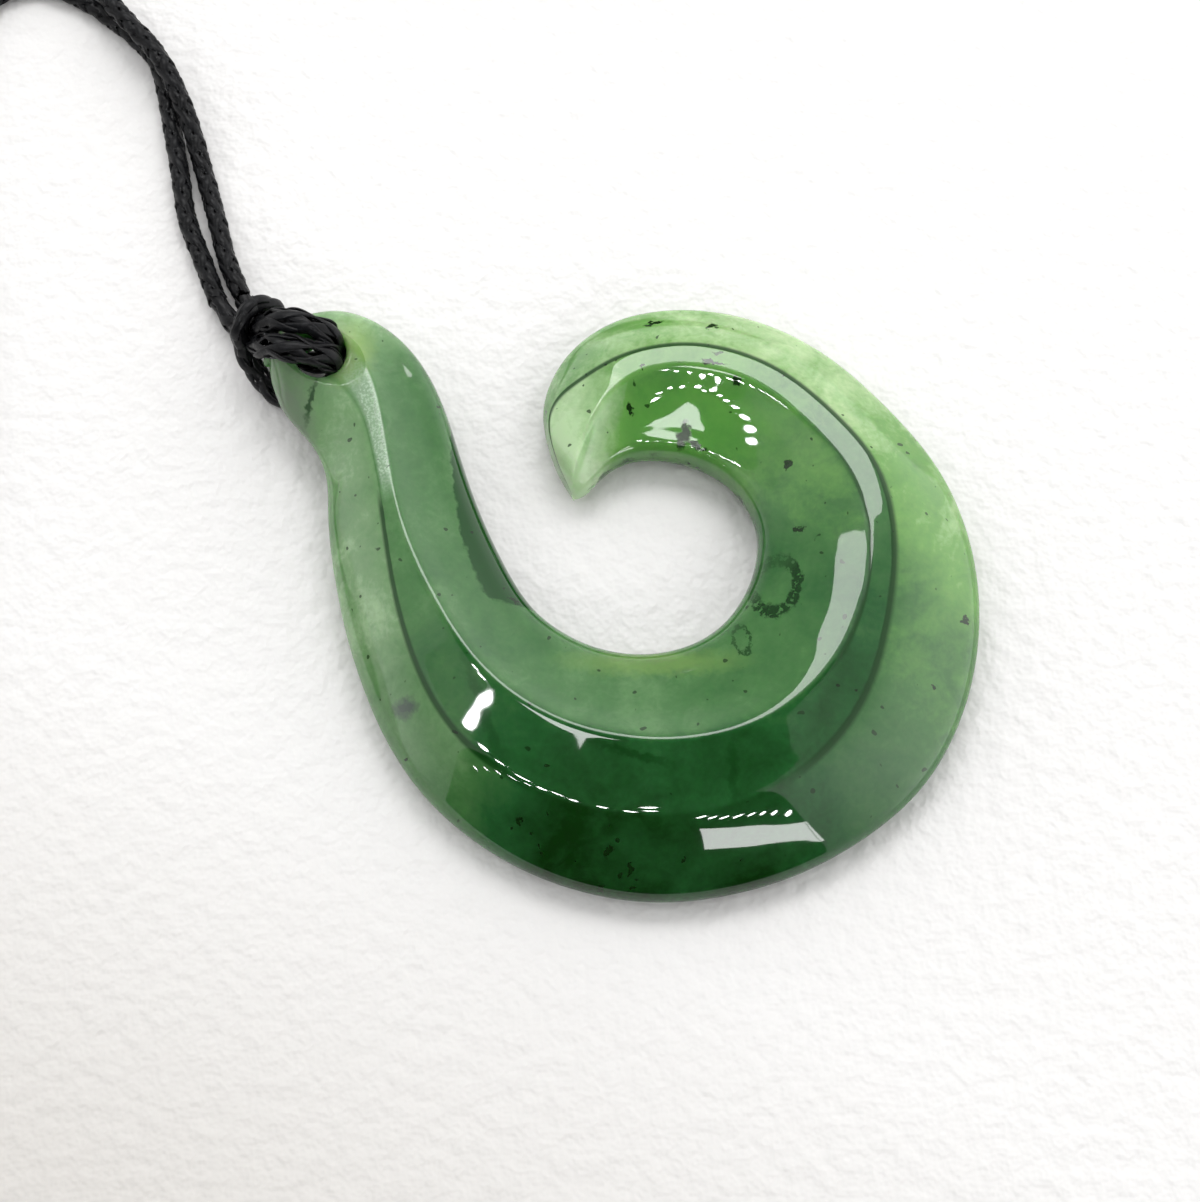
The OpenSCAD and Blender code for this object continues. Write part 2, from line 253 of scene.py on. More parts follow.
# Geometry Nodes tree: flat yarns wound both ways round a line, each passing over and under those it crosses.
# The line's points carry two directions across it, side and rise, as long as the cord's half width and height.
def braidTree(material):
    tree = bpy.data.node_groups.new("braided cord", "GeometryNodeTree")
    face = tree.interface
    face.new_socket("Line", in_out="INPUT", socket_type="NodeSocketGeometry")
    for name in ("Yarn Width", "Yarn Height", "Turn", "Lift"):
        face.new_socket(name, in_out="INPUT", socket_type="NodeSocketFloat")
    for name in ("Yarns", "Sides"):
        face.new_socket(name, in_out="INPUT", socket_type="NodeSocketInt")
    face.new_socket("Mesh", in_out="OUTPUT", socket_type="NodeSocketGeometry")
    given = addNode(tree, "NodeGroupInput").outputs

    line = addNode(tree, "GeometryNodeMeshToCurve", {0: given["Line"]})
    copies = addNode(tree, "GeometryNodeDuplicateElements", {"Geometry": line, "Amount": given["Yarns"]},
                     domain="SPLINE")
    found = {
        "index": copies.outputs["Duplicate Index"],
        "length": addNode(tree, "GeometryNodeSplineParameter").outputs["Length"],
        "yarns": given["Yarns"], "turn": given["Turn"], "lift": given["Lift"],
    }
    for name, operation, *parts in yarnSums:
        inputs = {i: found.get(part, part) for i, part in enumerate(parts)}
        found[name] = addNode(tree, maths, inputs, operation=operation)
    side, up = [addNode(tree, "GeometryNodeInputNamedAttribute", {"Name": name}, data_type="FLOAT_VECTOR")
                for name in ("side", "rise")]
    sideways = addNode(tree, vectors, {0: side, "Scale": found["sideways"]}, operation="SCALE")
    upwards = addNode(tree, vectors, {0: up, "Scale": found["upwards"]}, operation="SCALE")
    offset = addNode(tree, vectors, {0: sideways, 1: upwards}, operation="ADD")
    kept = addNode(tree, "GeometryNodeStoreNamedAttribute", {
        "Geometry": copies.outputs["Geometry"], "Name": "outwards", "Value": offset},
        data_type="FLOAT_VECTOR", domain="POINT")
    moved = addNode(tree, "GeometryNodeSetPosition", {"Geometry": kept, "Offset": offset})
    outwards = addNode(tree, "GeometryNodeInputNamedAttribute", {"Name": "outwards"}, data_type="FLOAT_VECTOR")
    turned = addNode(tree, "GeometryNodeSetCurveNormal", {"Curve": moved, "Normal": outwards}, mode="FREE")
    ring = addNode(tree, "GeometryNodeCurvePrimitiveCircle", {"Radius": 1.0, "Resolution": given["Sides"]})
    shape = addNode(tree, "ShaderNodeCombineXYZ", {
        "X": given["Yarn Height"], "Y": given["Yarn Width"], "Z": 1.0})
    flat = addNode(tree, "GeometryNodeTransform", {"Geometry": ring, "Scale": shape})
    tube = addNode(tree, "GeometryNodeCurveToMesh", {"Curve": turned, "Profile Curve": flat, "Fill Caps": True})
    real = addNode(tree, "GeometryNodeRealizeInstances", {0: tube})
    coated = addNode(tree, "GeometryNodeSetMaterial", {"Geometry": real, "Material": material})
    addNode(tree, "NodeGroupOutput", {0: coated})
    return tree


braid = braidTree(braidMaterial)


def unit(v):
    return v / np.linalg.norm(v, axis=-1, keepdims=True)


# Directions across a line. Rise is carried on from the line's start, or points away from a heart that the
# line goes round, and side stands on both.
def acrossLine(points, first=(0, 0, 1), heart=None):
    ahead = unit(np.gradient(points, axis=0))
    if heart is not None:
        away = points - np.array(heart)
        rise = unit(away - (away * ahead).sum(1)[:, None] * ahead)
        return np.cross(ahead, rise), rise
    rise = np.zeros_like(points)
    carried = np.array(first, float)
    for i, t in enumerate(ahead):
        carried = unit(carried - carried @ t * t)
        rise[i] = carried
    return np.cross(ahead, rise), rise


def braidAlong(name, points, width, height=None, first=(0, 0, 1), heart=None, sides=6, yarns=8,
               plait=cord["plait"]):
    width = np.broadcast_to(np.asarray(width, float), len(points))
    height = width if height is None else np.broadcast_to(np.asarray(height, float), len(points))
    side, rise = acrossLine(points, first, heart)
    yarnHigh = cord["yarnHigh"]
    mesh = bpy.data.meshes.new(name + "Line")
    mesh.from_pydata([tuple(p * mm) for p in points], [(i, i + 1) for i in range(len(points) - 1)], [])
    for label, ways, size in (("side", side, width), ("rise", rise, height)):
        attribute = mesh.attributes.new(label, "FLOAT_VECTOR", "POINT")
        values = ways * ((size / 2 - yarnHigh) / (1 + cord["lift"]))[:, None] * mm
        attribute.data.foreach_set("vector", values.astype(np.float32).ravel())
    holder = bpy.data.objects.new(name + "Line", mesh)
    bpy.context.scene.collection.objects.link(holder)
    sizes = {"Yarn Width": cord["yarnWide"] * mm, "Yarn Height": yarnHigh * mm, "Turn": plait * mm,
             "Lift": cord["lift"], "Yarns": yarns, "Sides": sides}
    modifier = holder.modifiers.new("braid", "NODES")
    modifier.node_group = braid
    for item in braid.interface.items_tree:
        if item.name in sizes and item.in_out == "INPUT":
            modifier[item.identifier] = sizes[item.name]
    evaluated = holder.evaluated_get(bpy.context.evaluated_depsgraph_get())
    plain = bpy.data.meshes.new_from_object(evaluated)
    plain.name = name
    plain.polygons.foreach_set("use_smooth", [True] * len(plain.polygons))
    bpy.data.objects.remove(holder)
    piece = bpy.data.objects.new(name, plain)
    bpy.context.scene.collection.objects.link(piece)
    return piece


hx, hy = cord["hole"]
hitchLine = [(x + hx, y + hy, z) for x, y, z in hitchByHole]
knotAt = np.array(cord["knotMiddle"])
halfKnot = np.array([cord["knotLong"] / 2, 0, 0])
toKnot = np.array([2.0, 0, 0])
rightEnds = [knotAt + halfKnot, knotAt + halfKnot + toKnot]
leftEnds = [knotAt - halfKnot - toKnot, knotAt - halfKnot]
wholeLine = rightEnds + rightStrand + hitchLine + leftStrand + leftEnds
fine = smoothLine(wholeLine, 0.2)
startAt = int(np.argmin(np.linalg.norm(fine - np.array(hitchLine[0]), axis=1)))
endAt = int(np.argmin(np.linalg.norm(fine - np.array(hitchLine[-1]), axis=1)))
rightPart, leftPart = fine[:startAt + 1], fine[endAt:]
throughKnot = np.linspace(leftPart[-1], rightPart[0], 12)
neckPath = np.vstack([leftPart, throughKnot[1:-1], rightPart])

neckCord = braidAlong("neck_cord_braid", smoothLine(neckPath[::4], 0.4), cord["thick"])

# Hitch: the same cord pulled tight, so it is pressed flat and wide where it bears on the head and on itself.
# Columns: place from the middle of the cord hole, then the braid's width and height there. Its heart is the
# middle of what it goes round, the head's rim.
hitchForm = {"heart": (-2.6, 0.6, 3.4), "plait": 13.0, "step": 0.2, "sides": 8}
hitchDrawn = [
    (-6.60, 6.40, 0.90, 1.6, 1.6), (-6.00, 5.40, 1.00, 1.7, 1.6), (-5.45, 4.40, 1.70, 1.8, 1.6),
    (-4.95, 3.30, 3.20, 1.9, 1.5), (-4.20, 2.45, 5.30, 2.1, 1.5), (-2.90, 2.05, 6.85, 2.2, 1.6),
    (-1.00, 1.70, 7.00, 2.3, 1.6), (0.70, 1.10, 6.35, 2.3, 1.6), (1.05, 0.84, 4.90, 1.7, 1.6),
    (0.95, 0.82, 3.00, 1.7, 1.6), (0.30, 0.90, 1.50, 1.7, 1.5), (-0.80, 1.20, 0.80, 1.7, 1.5),
    (-2.20, 1.70, 0.80, 1.8, 1.5), (-3.20, 2.70, 0.80, 1.9, 1.4), (-3.55, 3.55, 1.40, 2.2, 1.3),
    (-3.85, 4.05, 3.00, 2.4, 1.2), (-4.75, 4.15, 4.60, 2.5, 1.2), (-5.65, 3.50, 5.10, 2.6, 1.2),
    (-6.15, 2.60, 4.60, 2.6, 1.2), (-6.15, 1.70, 3.10, 2.4, 1.2), (-5.60, 0.70, 1.70, 2.1, 1.3),
    (-4.90, -0.30, 0.90, 1.8, 1.5), (-4.00, -1.40, 0.80, 1.6, 1.5), (-2.80, -2.00, 0.80, 1.6, 1.5),
    (-1.50, -1.70, 0.80, 1.6, 1.5), (-0.40, -1.20, 0.85, 1.6, 1.5), (0.40, -0.90, 1.70, 1.7, 1.5),
    (0.95, -0.82, 3.00, 1.7, 1.6), (1.05, -0.82, 4.90, 1.7, 1.6), (0.70, -0.80, 6.35, 2.3, 1.6),
    (-1.00, -0.55, 7.00, 2.3, 1.6), (-2.90, -0.15, 6.90, 2.2, 1.6), (-4.25, 0.50, 5.60, 2.1, 1.5),
    (-5.00, 1.45, 3.90, 1.9, 1.5), (-5.90, 2.70, 2.30, 1.8, 1.5), (-7.20, 4.20, 1.20, 1.7, 1.6),
    (-8.60, 6.30, 0.90, 1.6, 1.6),
]


def tightHitch():
    line = smoothLine(hitchDrawn, hitchForm["step"])
    places = line[:, :3] + [hx, hy, 0]
    heart = np.array(hitchForm["heart"]) + [hx, hy, 0]
    return braidAlong("hitch_braid", places, line[:, 3], line[:, 4], heart=heart, sides=hitchForm["sides"],
                      plait=hitchForm["plait"])


hitch = tightHitch()

# Closing knot: the cord wound round itself as a barrel
turns = {"count": 6, "room": 0.1, "steps": 24}


def closingKnot():
    pitch = (cord["knotLong"] - cord["thick"]) / turns["count"]
    radius = cord["knotThick"] / 2 - low - turns["room"] / 2
    laps = np.arange(0, turns["count"] * turns["steps"] + 1) / turns["steps"]
    angle = laps * 2 * math.pi
    along = (laps - turns["count"] / 2) * pitch
    line = np.stack([along, radius * np.cos(angle), radius * np.sin(angle)], 1) + knotAt
    return braidAlong("closing_knot_turns", line, cord["thick"], first=(0, 1, 0))


knot = closingKnot()

# Hook: one carved stone. The same sections as in the part's source, as shares of its width, length and
# thickness.
hookForm = {
    "wide": 53.0, "long": 46.0, "thick": 7.0, "belly": 0.3,
    "alongRow": 10, "evened": 18,  # rings to a row, and rounds of evening them out
    "around": 144, "finer": 4, "curveParts": 12, "flatParts": 24,  # points round, and how finely they are found
    "buff": 0.22, "wave": 0.005, "waveLong": 6.0,
    "sharp": 38,  # degrees between two faces from which their edge is drawn sharp
}
sections = [
    # inner x, y, outer x, y, crest, ridge, under, rim, crest, ridge, edge
    (-0.494, 0.408, -0.499, 0.384, 0.38, 0.62, 0.42, 0.64, 0.66, 0.66, 0.55),
    (-0.485, 0.434, -0.497, 0.360, 0.34, 0.62, 0.34, 0.70, 0.78, 0.77, 0.54),
    (-0.466, 0.456, -0.489, 0.332, 0.32, 0.62, 0.31, 0.72, 0.83, 0.82, 0.54),
    (-0.434, 0.471, -0.476, 0.300, 0.30, 0.61, 0.30, 0.72, 0.85, 0.84, 0.54),
    (-0.392, 0.475, -0.454, 0.270, 0.30, 0.60, 0.29, 0.72, 0.86, 0.84, 0.53),
    (-0.341, 0.453, -0.428, 0.234, 0.32, 0.58, 0.26, 0.70, 0.88, 0.85, 0.51),
    (-0.292, 0.403, -0.413, 0.187, 0.42, 0.58, 0.20, 0.66, 0.90, 0.87, 0.46),
    (-0.254, 0.327, -0.411, 0.127, 0.47, 0.58, 0.12, 0.63, 0.92, 0.90, 0.42),
    (-0.227, 0.232, -0.405, 0.065, 0.49, 0.58, 0.05, 0.60, 0.94, 0.92, 0.39),
    (-0.203, 0.150, -0.393, -0.010, 0.49, 0.61, 0.01, 0.60, 0.96, 0.92, 0.37),
    (-0.169, 0.060, -0.370, -0.110, 0.46, 0.66, 0.00, 0.60, 0.98, 0.91, 0.35),
    (-0.126, -0.026, -0.323, -0.241, 0.43, 0.70, 0.00, 0.61, 1.00, 0.88, 0.33),
    (-0.074, -0.074, -0.248, -0.358, 0.42, 0.72, 0.00, 0.61, 1.00, 0.86, 0.32),
    (-0.021, -0.099, -0.126, -0.454, 0.41, 0.71, 0.00, 0.61, 1.00, 0.85, 0.31),
    (0.037, -0.105, 0.022, -0.499, 0.41, 0.70, 0.00, 0.61, 1.00, 0.85, 0.30),
    (0.094, -0.090, 0.166, -0.482, 0.43, 0.70, 0.00, 0.60, 1.00, 0.85, 0.30),
    (0.141, -0.054, 0.294, -0.423, 0.45, 0.68, 0.00, 0.59, 0.99, 0.86, 0.31),
    (0.174, 0.003, 0.416, -0.312, 0.46, 0.62, 0.00, 0.58, 0.97, 0.88, 0.33),
    (0.189, 0.062, 0.485, -0.145, 0.47, 0.57, 0.00, 0.57, 0.94, 0.89, 0.35),
    (0.187, 0.118, 0.498, 0.030, 0.49, 0.59, 0.00, 0.56, 0.90, 0.88, 0.36),
    (0.160, 0.176, 0.463, 0.187, 0.51, 0.64, 0.00, 0.55, 0.86, 0.85, 0.36),
    (0.118, 0.213, 0.389, 0.310, 0.52, 0.66, 0.00, 0.53, 0.82, 0.81, 0.36),
    (0.072, 0.231, 0.279, 0.432, 0.54, 0.67, 0.00, 0.51, 0.79, 0.78, 0.36),
    (0.024, 0.233, 0.146, 0.495, 0.52, 0.66, 0.01, 0.49, 0.76, 0.75, 0.35),
    (-0.011, 0.218, 0.014, 0.490, 0.46, 0.63, 0.02, 0.47, 0.72, 0.71, 0.34),
    (-0.033, 0.194, -0.074, 0.424, 0.31, 0.68, 0.04, 0.44, 0.68, 0.57, 0.33),
    (-0.047, 0.176, -0.113, 0.325, 0.24, 0.85, 0.06, 0.42, 0.64, 0.49, 0.31),
    (-0.056, 0.170, -0.100, 0.240, 0.27, 0.84, 0.09, 0.37, 0.54, 0.45, 0.29),
    (-0.062, 0.168, -0.082, 0.195, 0.32, 0.76, 0.12, 0.31, 0.42, 0.37, 0.26),
    (-0.066, 0.168, -0.071, 0.174, 0.42, 0.58, 0.17, 0.26, 0.28, 0.28, 0.23),
]
dish = {
    "radius": 3.3, "deep": 0.6, "bore": 1.95, "lip": 0.4,
    "bottom": 0.3, "lipFrom": 1.8, "past": 4.6, "top": 9.0, "spin": 96,  # the cutter's heights, reach and sides
}


def blendRows(rows, parts):
    p = np.array(rows, float)
    p = np.vstack([p[:1], p, p[-1:]])
    u = (np.arange(parts) / parts)[:, None]
    fineRows = [throughFour(a, b, c, d, u) for a, b, c, d in zip(p[:-3], p[1:-2], p[2:-1], p[3:])]
    return np.concatenate(fineRows + [p[-2:-1]])


def relax(values, rounds):
    out = values.copy()
    for _ in range(rounds):
        out[1:-1] = 0.25 * out[:-2] + 0.5 * out[1:-1] + 0.25 * out[2:]
    return out


# One section as three smooth stretches that meet at the crest and at the ridge, with the flat plateau between
def sectionProfile(row):
    under, rim, top, shoulder, edge = [row[i] * hookForm["thick"] for i in (6, 7, 8, 9, 10)]
    c, r, full, belly = row[4], row[5], row[11], hookForm["belly"]

    def mix(a, b, share):
        return a + (b - a) * share

    scoop = [
        (0.48, under - belly), (0.25, under - 0.8 * belly), (0.11, mix(under, rim, 0.02)),
        (0.045, mix(under, rim, 0.10)), (0.010, mix(under, rim, 0.30)), (0.0, mix(under, rim, 0.55)),
        (0.014, mix(under, rim, 0.82)), (0.060, rim),
        (mix(0.06, c, 0.33), mix(rim, top, mix(0.24, 0.40, full))),
        (mix(0.06, c, 0.66), mix(rim, top, mix(0.55, 0.77, full))),
        (mix(0.06, c, 0.88), mix(rim, top, mix(0.84, 0.95, full))), (c, top),
    ]
    bevel = [
        (r, shoulder), (mix(r, 1, 0.20), mix(shoulder, edge, 0.13)),
        (mix(r, 1, 0.47), mix(shoulder, edge, 0.38)), (mix(r, 1, 0.74), mix(shoulder, edge, 0.68)),
        (mix(r, 1, 0.93), mix(shoulder, edge, 0.92)),
        (1.0, mix(under, edge, 0.80)), (0.985, mix(under, edge, 0.42)), (0.945, mix(under, edge, 0.14)),
        (0.880, mix(under, edge, 0.03)), (0.720, under - 0.8 * belly), (0.48, under - belly),
    ]
    return [np.array(scoop), np.array([scoop[-1], bevel[0]]), np.array(bevel)]


# The ring's points stand evenly along it, and a light buff rounds the crest and the ridge
def hookRing(row):
    inner = np.array([row[0] * hookForm["wide"], row[1] * hookForm["long"]])
    outer = np.array([row[2] * hookForm["wide"], row[3] * hookForm["long"]])
    reach = np.linalg.norm(outer - inner)
    stretches = []
    for part in sectionProfile(row):
        fineness = hookForm["curveParts"] if len(part) > 2 else hookForm["flatParts"]
        stretches.append(blendRows(part, fineness) * [reach, 1])
    line = np.concatenate([part[:-1] for part in stretches])
    closed = np.vstack([line, line[:1]])
    walked = np.concatenate([[0], np.cumsum(np.linalg.norm(np.diff(closed, axis=0), axis=1))])
    dense = hookForm["around"] * hookForm["finer"]
    at = np.arange(dense) / dense * walked[-1]
    even = np.stack([np.interp(at, walked, closed[:, k]) for k in (0, 1)], 1)
    spread = hookForm["buff"] / (walked[-1] / dense)
    reachOut = int(4 * spread) + 1
    weight = np.exp(-0.5 * (np.arange(-reachOut, reachOut + 1) / spread) ** 2)
    weight /= weight.sum()
    smooth = sum(w * np.roll(even, shift, axis=0) for w, shift in zip(weight, range(-reachOut, reachOut + 1)))
    smooth = smooth[::hookForm["finer"]]
    flat = inner + (outer - inner) * smooth[:, :1] / reach
    return np.column_stack([flat, np.maximum(smooth[:, 1], 0)])


fullness = {"rows": (15, 17, 18.8, 20.6), "most": 0.8}  # where the scoop swells into a broad round crest
swell = np.interp(np.arange(len(sections)), fullness["rows"], (0, fullness["most"], fullness["most"], 0))
hookRows = relax(blendRows(np.column_stack([sections, swell]), hookForm["alongRow"]), hookForm["evened"])


def roundEnd(ring, away, parts=5):
    middle = ring.mean(0)
    reach = 0.35 * np.ptp(ring[:, 2])
    caps = []
    for i in range(1, parts):
        turn = i / parts * math.pi / 2
        caps.append(middle + (ring - middle) * math.cos(turn) + away * reach * math.sin(turn))
    return caps, middle + away * reach


# Faint waves that hand buffing leaves on the carved face
def buffed(points):
    phase = 2 * math.pi * points[:, :2] / hookForm["waveLong"]
    x, y = phase.T
    waves = np.sin(x + 1.3 * np.sin(0.6 * y)) * np.sin(1.2 * y + 0.8 * np.sin(0.7 * x))
    rise = hookForm["wave"] * waves * np.clip(points[:, 2] / hookForm["thick"], 0, 1)
    return points + np.column_stack([np.zeros((len(points), 2)), rise])


def hookPiece(material):
    rings = [hookRing(row) for row in hookRows]
    headAway = rings[0].mean(0) - rings[4].mean(0)
    tipAway = rings[-1].mean(0) - rings[-5].mean(0)
    headCaps, headTip = roundEnd(rings[0], headAway / np.linalg.norm(headAway))
    tipCaps, pointTip = roundEnd(rings[-1], tipAway / np.linalg.norm(tipAway))
    rings = headCaps[::-1] + rings + tipCaps
    count = len(rings[0])
    points = buffed(np.vstack(rings + [[headTip], [pointTip]]))
    faces = []
    for i in range(len(rings) - 1):
        for k in range(count):
            a, b = i * count + k, i * count + (k + 1) % count
            faces.append((a, b, b + count, a + count))
    last = (len(rings) - 1) * count
    for k in range(count):
        faces.append(((k + 1) % count, k, len(points) - 2))
        faces.append((last + k, last + (k + 1) % count, len(points) - 1))
    return meshPiece("hook_stone", points * mm, faces, material)


def holeCutter():
    ball = (dish["radius"] ** 2 + dish["deep"] ** 2) / (2 * dish["deep"])
    ballZ = headTop + ball - dish["deep"]
    bore, lip, spin = dish["bore"], dish["lip"], dish["spin"]

    def dishZ(r):
        return ballZ - math.sqrt(ball ** 2 - r ** 2)

    outline = [(bore + lip, dish["bottom"])]
    outline += [(bore + lip * (1 - math.sin(t)), dish["lipFrom"] + lip * (1 - math.cos(t)))
                for t in np.linspace(0, math.pi / 2, 7)]
    outline += [(bore + lip * (1 - math.cos(t)), dishZ(bore + lip) - lip * (1 - math.sin(t)))
                for t in np.linspace(0, math.pi / 2, 8)]
    outline += [(r, dishZ(r)) for r in np.linspace(bore + lip, dish["past"], 9)[1:]]
    outline += [(dish["past"], dish["top"])]
    points = [(0, 0, dish["bottom"]), (0, 0, dish["top"])]
    faces = []
    for r, z in outline:
        for k in range(spin):
            turn = 2 * math.pi * k / spin
            points.append((r * math.cos(turn), r * math.sin(turn), z))
    for i in range(len(outline) - 1):
        for k in range(spin):
            a, b = 2 + i * spin + k, 2 + i * spin + (k + 1) % spin
            faces.append((a, b, b + spin, a + spin))
    top = 2 + (len(outline) - 1) * spin
    for k in range(spin):
        faces.append((0, 2 + (k + 1) % spin, 2 + k))
        faces.append((1, top + k, top + (k + 1) % spin))
    points = (np.array(points) + [hx, hy, 0]) * mm
    return meshPiece("cutter", points, faces, bpy.data.materials.new("cut"))


def drilled(piece):
    cutter = holeCutter()
    modifier = piece.modifiers.new("hole", "BOOLEAN")
    modifier.operation = "DIFFERENCE"
    modifier.solver = "EXACT"
    modifier.object = cutter
    evaluated = piece.evaluated_get(bpy.context.evaluated_depsgraph_get())
    mesh = bpy.data.meshes.new_from_object(evaluated)
    piece.modifiers.clear()
    piece.data = mesh
    bpy.data.objects.remove(cutter)
    work = bmesh.new()
    work.from_mesh(mesh)
    sharp = math.radians(hookForm["sharp"])
    for edge in work.edges:
        edge.smooth = len(edge.link_faces) < 2 or edge.calc_face_angle(0) < sharp
    for face in work.faces:
        face.smooth = True
    work.to_mesh(mesh)
    work.free()
    return piece


# Where each point of the stone lies: how far along the hook from head to point, and in which zone across it.
# The zone runs from 0 at the inner edge to 1 at the crest, 2 at the ridge and 3 at the outer edge.
def markPlaces(piece):
    rows = np.array(hookRows)
    scale = np.array([hookForm["wide"], hookForm["long"]])
    inner, outer = rows[:, :2] * scale, rows[:, 2:4] * scale
    across = outer - inner
    points = np.array([vertex.co[:2] for vertex in piece.data.vertices]) / mm
    share = ((points[:, None] - inner) * across).sum(2) / (across ** 2).sum(1)
    nearest = inner + np.clip(share, 0, 1)[..., None] * across
    best = np.linalg.norm(points[:, None] - nearest, axis=2).argmin(1)
    share = np.clip(share[np.arange(len(points)), best], 0, 1)
    crest, ridge = rows[best, 4], rows[best, 5]
    zone = np.where(share < crest, share / crest, np.where(
        share < ridge, 1 + (share - crest) / (ridge - crest), 2 + (share - ridge) / (1 - ridge)))
    for name, values in (("along", best / (len(rows) - 1)), ("zone", zone)):
        attribute = piece.data.attributes.new(name, "FLOAT", "POINT")
        attribute.data.foreach_set("value", values.astype(np.float32))


# Nephrite: a tough felted stone, ground and buffed to a wet gloss. Light goes a few millimetres into it, and it
# holds clouds, specks and ragged dark rings. Its lightness across and along the hook is partly its own tone and
# partly painted light and shade: pale on the bevels that face the bright walls, deep green on the plateau and
# the front bevel of the bend, which face the dark cloth.
stone = {
    "deep": "#092B07", "dark": "#1F4F26", "mid": "#3D6838", "pale": "#64875A", "milky": "#A6C298",
    "fresh": "#4C8A34", "black": "#0A2407", "ragged": "#08320A", "greyVein": "#3C4A40", "olive": "#7C9A4C",
    "glassy": "#0A3C10", "facetGrey": "#5E7059", "grain": "#A3B8A2",
    "reach": 1.6,  # how far light spreads inside, mm
    "rough": 0.03,
    "clear": 0.9,  # how much of the spread inside the dark marks take away
    "warmPale": "#629148", "warmMilky": "#B0C898",  # yellower greens of the outer bend and the point
}
# Lightness along the hook, from 0 deep to 1 milky, as place and value: the stone's own tone with painted light
# and shade, darker where a stretch faces the dark cloth and paler where it faces the bright walls
toneAndPaintedShade = {
    "inner": [(0.0, 0.84), (0.14, 0.80), (0.22, 0.53), (0.33, 0.46), (0.45, 0.50), (0.55, 0.41), (0.63, 0.34),
              (0.70, 0.60), (0.80, 0.54), (0.86, 0.84), (0.91, 1.0)],
    "plateau": [(0.0, 0.66), (0.2, 0.52), (0.31, 0.53), (0.41, 0.28), (0.50, 0.17), (0.58, 0.23),
                (0.66, 0.40), (0.80, 0.66), (0.90, 0.94), (1.0, 1.0)],
    "bevel": [(0.0, 0.62), (0.2, 0.66), (0.33, 0.70), (0.41, 0.50), (0.455, 0.09), (0.52, 0.08), (0.57, 0.33),
              (0.62, 0.50), (0.67, 0.70), (0.74, 0.84), (0.86, 0.76), (1.0, 0.84)],
}
# Marks in the stone: middle and half sizes on the plan in mm, and the turn in degrees
specks = [
    (-7.74, -1.18, 0.45, 0.22, -40), (-7.20, -17.55, 0.22, 0.34, 0), (-5.75, -19.20, 0.14, 0.24, 20),
    (-1.00, -19.70, 0.26, 0.52, -25), (0.55, -20.95, 0.20, 0.50, 0), (-0.25, -21.35, 0.26, 0.24, 0),
    (-1.50, -22.00, 0.22, 0.20, 0), (0.62, -22.10, 0.28, 0.16, 0), (4.20, -20.30, 0.20, 0.20, 0),
    (2.45, 21.05, 0.85, 0.24, 15), (6.75, 20.60, 0.55, 0.26, 35), (1.60, 16.80, 0.26, 0.20, 0),
    (6.90, 17.10, 1.00, 0.13, -8), (8.60, 15.60, 0.34, 0.26, 0), (12.27, 9.19, 0.40, 0.24, 15),
    (13.04, 4.10, 0.36, 0.18, 0), (25.05, -2.40, 0.34, 0.28, 0), (22.42, -7.54, 0.16, 0.16, 0),
    (-15.63, -12.72, 0.14, 0.14, 0), (0.70, 13.90, 0.22, 0.46, 15), (-13.60, 14.00, 0.20, 0.12, 0),
    (4.65, 11.90, 0.45, 1.05, -15), (5.60, 11.10, 0.85, 0.26, -30),
]
pit = {"middle": (5.0, 11.5), "half": (1.4, 1.4)}  # the specks in the bowl that the buffing left rough
rings = [  # ragged dark rings, with the share of the rim that stays dark
    {"middle": (11.15, -0.15), "half": (1.85, 2.45), "turn": -12, "dark": 1.0, "heavy": (0.75, -0.65)},
    {"middle": (8.62, -4.25), "half": (0.70, 1.25), "turn": 8, "dark": 0.85, "heavy": (0.3, -0.3)},
]
veins = [  # soft tints, the last three painted reflections: middle, half sizes, turn, colour name, strength
    (-15.49, -9.40, 1.05, 0.80, 0, "greyVein", 0.95),
    (-24.60, 13.40, 1.80, 3.80, 20, "facetGrey", 0.9),
    (-20.20, 17.90, 2.10, 3.20, 0, "olive", 0.6),
    (-23.05, 14.20, 0.30, 1.80, -16, "ragged", 0.9),
    (2.20, -5.90, 7.20, 1.30, 0, "olive", 0.35),
    (5.20, 13.20, 8.60, 4.60, 0, "fresh", 0.55),
    # the next three are painted dark reflections of the ridge's shade in the plateau, not marks in the stone
    (0.54, -13.20, 3.60, 0.34, -16, "ragged", 0.7),
    (7.78, -14.40, 0.40, 2.60, 0, "ragged", 0.5),
    (-9.94, -9.70, 0.45, 5.40, 20, "ragged", 0.45),
]
# Painted dark reflection edges along the ridge and the crest, where the mirrored surroundings turn from bright
# to dark, as stops across the stone and along it, each a place and a strength
paintedReflectionEdges = {
    "ridge": {"across": [(0.645, 0), (0.660, 1), (0.680, 1), (0.695, 0)],
              "along": [(0.27, 0), (0.285, 0.9), (0.42, 0.9), (0.45, 0), (0.53, 0), (0.56, 0.9), (0.96, 0.9),
                        (1.0, 0)]},
    "crest": {"across": [(0.325, 0), (0.345, 1), (0.365, 1), (0.39, 0)],
              "along": [(0.56, 0), (0.60, 0.8), (0.68, 0.8), (0.73, 0)]},
}
mirroredWedge = {  # painted dark reflection of the hook's far side on the shank's inner edge: how wide it is along the hook
    "wide": [(0.256, 0), (0.28, 0.05), (0.303, 0.09), (0.345, 0.14), (0.362, 0.15), (0.388, 0)],
    "wobble": 0.012, "edge": 0.010, "strength": 0.95,
}
frosted = {  # the strip on the shank's crest that was left matt
    "across": [(0.32, 0), (0.36, 1), (0.58, 1), (0.65, 0)],
    "along": [(0.15, 0), (0.20, 1), (0.262, 1), (0.285, 0)],
    "grain": [(0.40, 0.6), (0.60, 1)], "strength": 0.55, "rough": 0.32,
}
